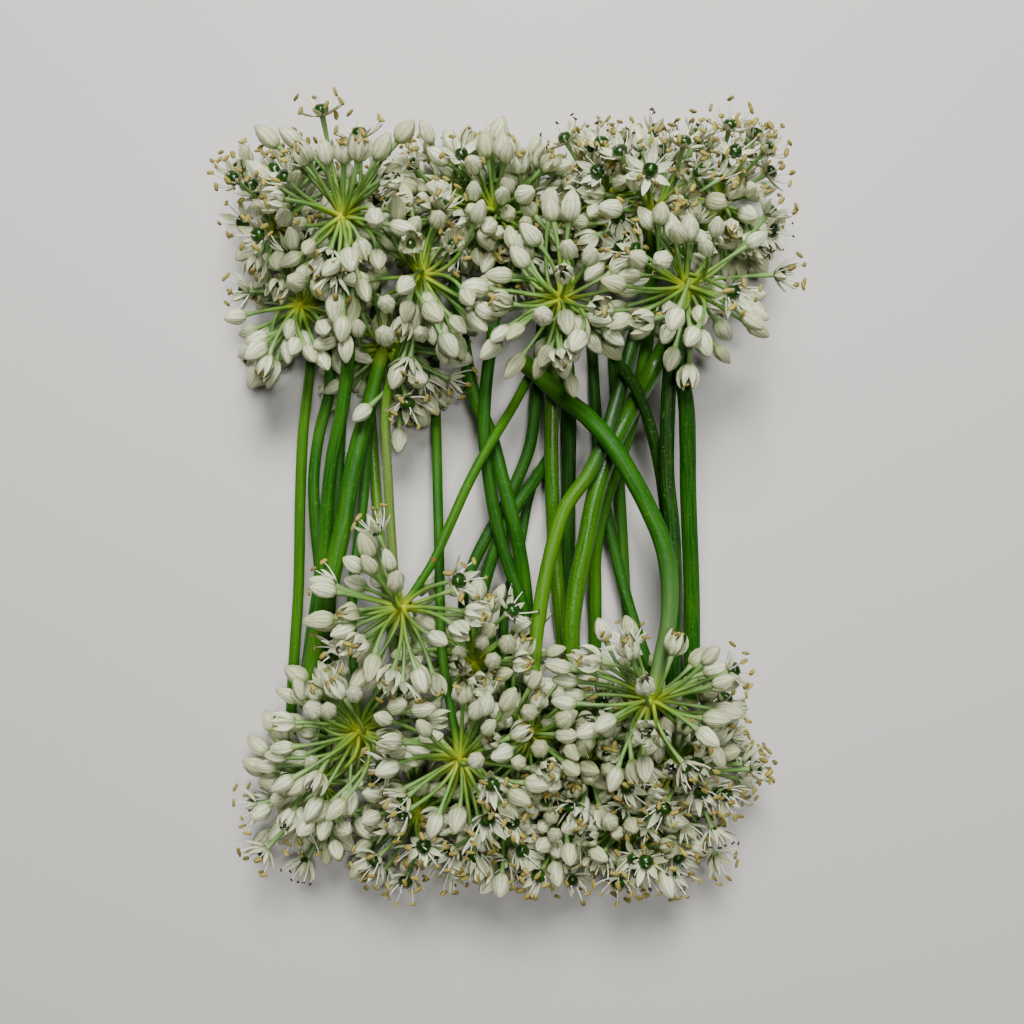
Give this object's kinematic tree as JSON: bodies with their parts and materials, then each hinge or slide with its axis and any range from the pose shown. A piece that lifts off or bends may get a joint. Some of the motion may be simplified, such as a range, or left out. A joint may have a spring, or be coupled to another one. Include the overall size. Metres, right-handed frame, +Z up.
{
  "type": "chive flower bunch",
  "caption": "Bunch of cut garlic chive flowers lying flat, green stalks crossing between white flower heads massed at both ends.",
  "frame": {"origin": "on the surface that the bunch lies on, under the middle of its bounding box", "axes": "+Z up, +Y along the stalks toward the northern heads, +X across the bunch"},
  "size_m": [0.1236, 0.1699, 0.0498],
  "materials": {
    "scape_green": "smooth waxy green stalk, slightly glossy",
    "umbel_white": "matt white petals with pale green stalklets"
  },
  "bodies": {
    "root": {"scape_01": "scape_green", "scape_02": "scape_green", "scape_03": "scape_green", "scape_04": "scape_green", "scape_05": "scape_green", "scape_06": "scape_green", "scape_07": "scape_green", "scape_08": "scape_green", "scape_09": "scape_green", "scape_10": "scape_green", "scape_11": "scape_green", "scape_12": "scape_green", "scape_13": "scape_green", "scape_14": "scape_green", "scape_15": "scape_green", "scape_16": "scape_green", "scape_17": "scape_green", "scape_18": "scape_green", "scape_19": "scape_green", "scape_20": "scape_green", "scape_21": "scape_green", "scape_22": "scape_green", "scape_23": "scape_green", "scape_24": "scape_green", "scape_25": "scape_green", "scape_26": "scape_green", "umbel_01": "umbel_white", "umbel_02": "umbel_white", "umbel_03": "umbel_white", "umbel_04": "umbel_white", "umbel_05": "umbel_white", "umbel_06": "umbel_white", "umbel_07": "umbel_white", "umbel_08": "umbel_white", "umbel_09": "umbel_white", "umbel_10": "umbel_white", "umbel_11": "umbel_white", "umbel_12": "umbel_white", "umbel_13": "umbel_white", "umbel_14": "umbel_white", "umbel_15": "umbel_white", "umbel_16": "umbel_white", "umbel_17": "umbel_white", "umbel_18": "umbel_white", "umbel_19": "umbel_white", "umbel_20": "umbel_white", "umbel_21": "umbel_white", "umbel_22": "umbel_white", "umbel_23": "umbel_white", "umbel_24": "umbel_white", "umbel_25": "umbel_white", "umbel_26": "umbel_white"}
  },
  "joints": []
}
